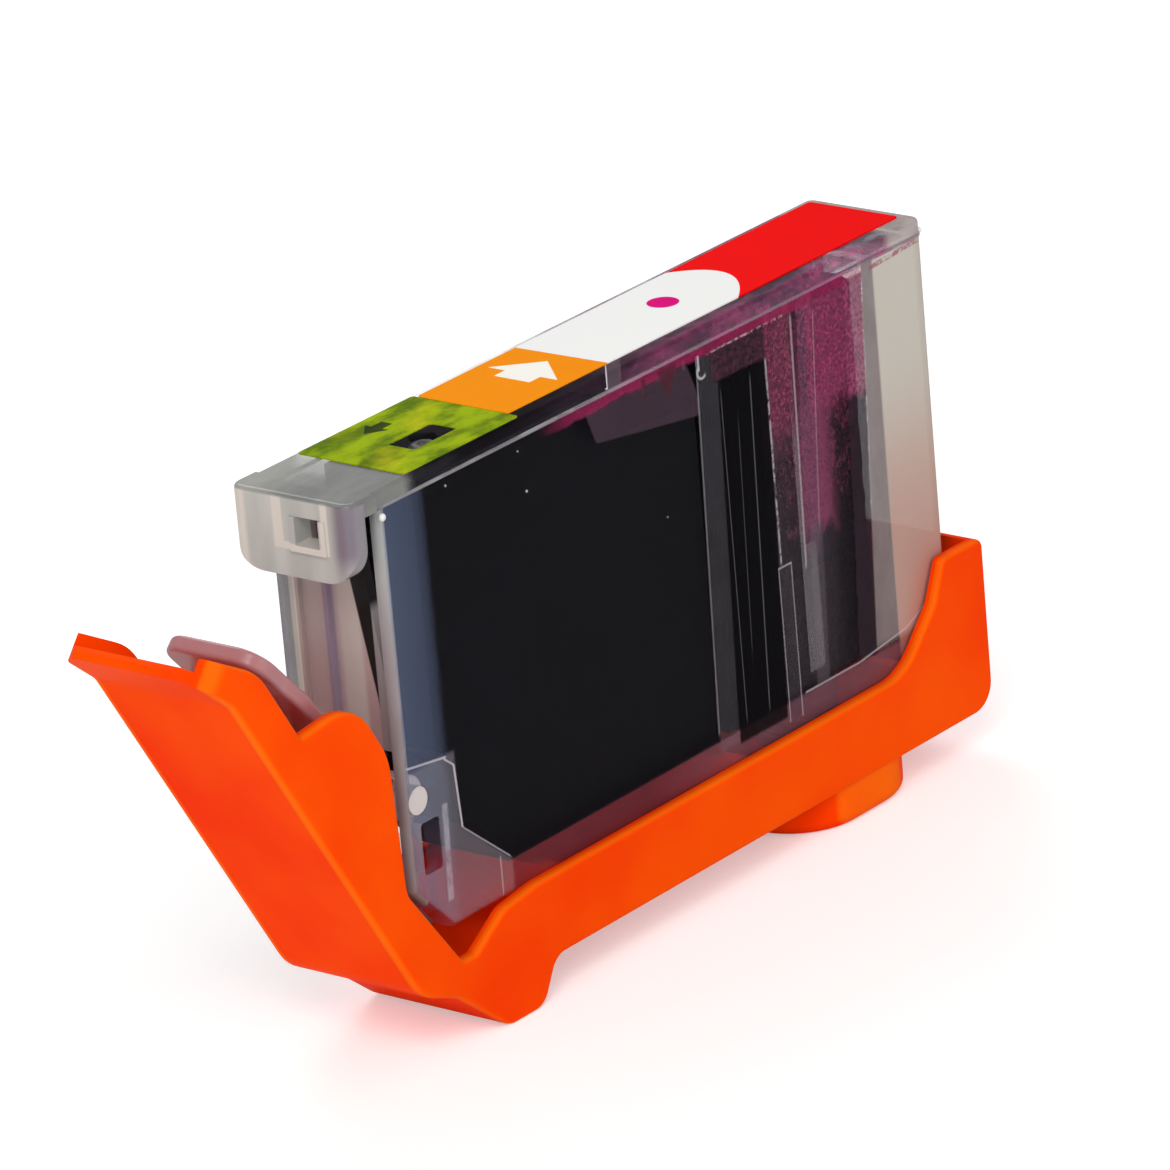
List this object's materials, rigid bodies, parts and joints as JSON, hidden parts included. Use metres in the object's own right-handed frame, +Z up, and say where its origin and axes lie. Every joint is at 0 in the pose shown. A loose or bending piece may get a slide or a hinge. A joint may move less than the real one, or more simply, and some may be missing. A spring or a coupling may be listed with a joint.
{
  "type": "inkjet ink cartridge",
  "caption": "Slim single-colour inkjet ink tank with latch lever, hooded lid, ink and sponge chambers, standing in its clip-on orange shipping cap.",
  "frame": {"origin": "middle of the object's footprint, on the surface that the cap stands on", "axes": "+X towards the rear of the tank, away from the latch lever; +Y across the tank; +Z up"},
  "size_m": [0.1034, 0.0148, 0.0501],
  "materials": {
    "cap_plastic": "glossy moulded orange plastic",
    "seal_rubber": "soft pale elastomer",
    "clear_tank": "milky translucent polypropylene",
    "clear_lid": "milky translucent polypropylene, welded on",
    "lever_plastic": "pinkish translucent polypropylene",
    "ink": "deep magenta dye ink, near black in bulk",
    "sponge": "open foam soaked with ink",
    "felt": "dense fibre felt soaked with ink",
    "mesh_steel": "fine perforated steel",
    "circuit_board": "solder mask over glass laminate",
    "contact_gold": "gold plated",
    "chip_epoxy": "cast epoxy drop",
    "led_lens": "clear moulded lens",
    "vent_film": "yellow-green adhesive film",
    "label_sheet": "printed film label, plain colour fields",
    "plug_plastic": "dark soft plastic",
    "membrane": "white porous film"
  },
  "bodies": {
    "cap": {"shipping_cap": "cap_plastic", "outlet_seal": "seal_rubber"},
    "tank": {"tank_body": "clear_tank", "top_lid": "clear_lid", "ink": "ink", "capillary_sponge": "sponge", "outlet_felt": "felt", "outlet_wick": "felt", "outlet_mesh": "mesh_steel", "chip_board": "circuit_board", "chip_contacts": "contact_gold", "chip_cover": "chip_epoxy", "chip_led": "led_lens", "vent_film": "vent_film", "label": "label_sheet", "fill_plug": "plug_plastic", "vent_membrane": "membrane"},
    "lever": {"latch_lever": "lever_plastic"}
  },
  "joints": [
    {"name": "cap_lift", "type": "slide", "parent": "cap", "child": "tank", "axis": [0, 0, 1], "range_m": [0, 0.026]},
    {"name": "latch_press", "type": "hinge", "parent": "tank", "child": "lever", "pos_m": [-0.02474, 0, 0.0226], "axis": [0, 1, 0], "range_deg": [0, 17], "stiffness_Nm_per_rad": 0.05}
  ]
}
